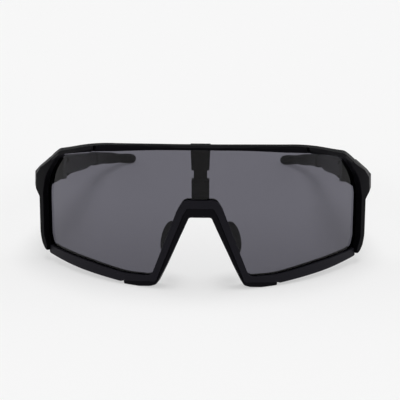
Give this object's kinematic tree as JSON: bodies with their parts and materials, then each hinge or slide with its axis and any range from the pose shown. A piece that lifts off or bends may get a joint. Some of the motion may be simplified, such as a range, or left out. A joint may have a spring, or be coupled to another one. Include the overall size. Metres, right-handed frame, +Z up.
{
  "type": "wraparound sport sunglasses",
  "caption": "Wraparound shield sunglasses: a curved smoke lens in a two-part frame, a nose bridge with soft pads, and folding temples with rubber ear grips.",
  "frame": {"origin": "centre of the bounding box's base, on the surface that the open glasses stand on", "axes": "+X to the wearer's left, +Y from the lens back towards the ears, +Z up; the lens faces -Y"},
  "size_m": [0.148, 0.1612, 0.0623],
  "materials": {
    "frame_plastic": "matt black injection-moulded nylon",
    "rim_plastic": "matt charcoal injection-moulded nylon",
    "bridge_plastic": "matt black injection-moulded nylon",
    "lens_smoke": "polished smoke-grey polycarbonate, about 15 percent light transmission",
    "pad_rubber": "soft matt black silicone rubber",
    "temple_plastic": "matt black injection-moulded nylon",
    "grip_rubber": "soft matt black moulded rubber",
    "screw_steel": "machined stainless steel",
    "bush_brass": "turned brass",
    "nut_brass": "turned brass",
    "washer_nylon": "natural nylon"
  },
  "bodies": {
    "front": {"upper_frame": "frame_plastic", "lens": "lens_smoke", "lower_rim": "rim_plastic", "nose_bridge": "bridge_plastic", "nose_pad_left": "pad_rubber", "nose_pad_right": "pad_rubber", "hinge_screw_left": "screw_steel", "hinge_screw_right": "screw_steel", "hinge_nut_left": "nut_brass", "hinge_nut_right": "nut_brass", "hinge_washer_upper_left": "washer_nylon", "hinge_washer_upper_right": "washer_nylon", "hinge_washer_lower_left": "washer_nylon", "hinge_washer_lower_right": "washer_nylon"},
    "temple_arm_left": {"temple_left": "temple_plastic", "ear_grip_left": "grip_rubber", "hinge_bush_left": "bush_brass"},
    "temple_arm_right": {"temple_right": "temple_plastic", "ear_grip_right": "grip_rubber", "hinge_bush_right": "bush_brass"}
  },
  "joints": [
    {"name": "fold_left", "type": "hinge", "parent": "front", "child": "temple_arm_left", "pos_m": [0.0635, -0.03295, 0.03681], "axis": [0, 0.3088, 0.9511], "range_deg": [0, 85]},
    {"name": "fold_right", "type": "hinge", "parent": "front", "child": "temple_arm_right", "pos_m": [-0.0635, -0.03295, 0.03681], "axis": [0, -0.3088, -0.9511], "range_deg": [0, 70]}
  ]
}
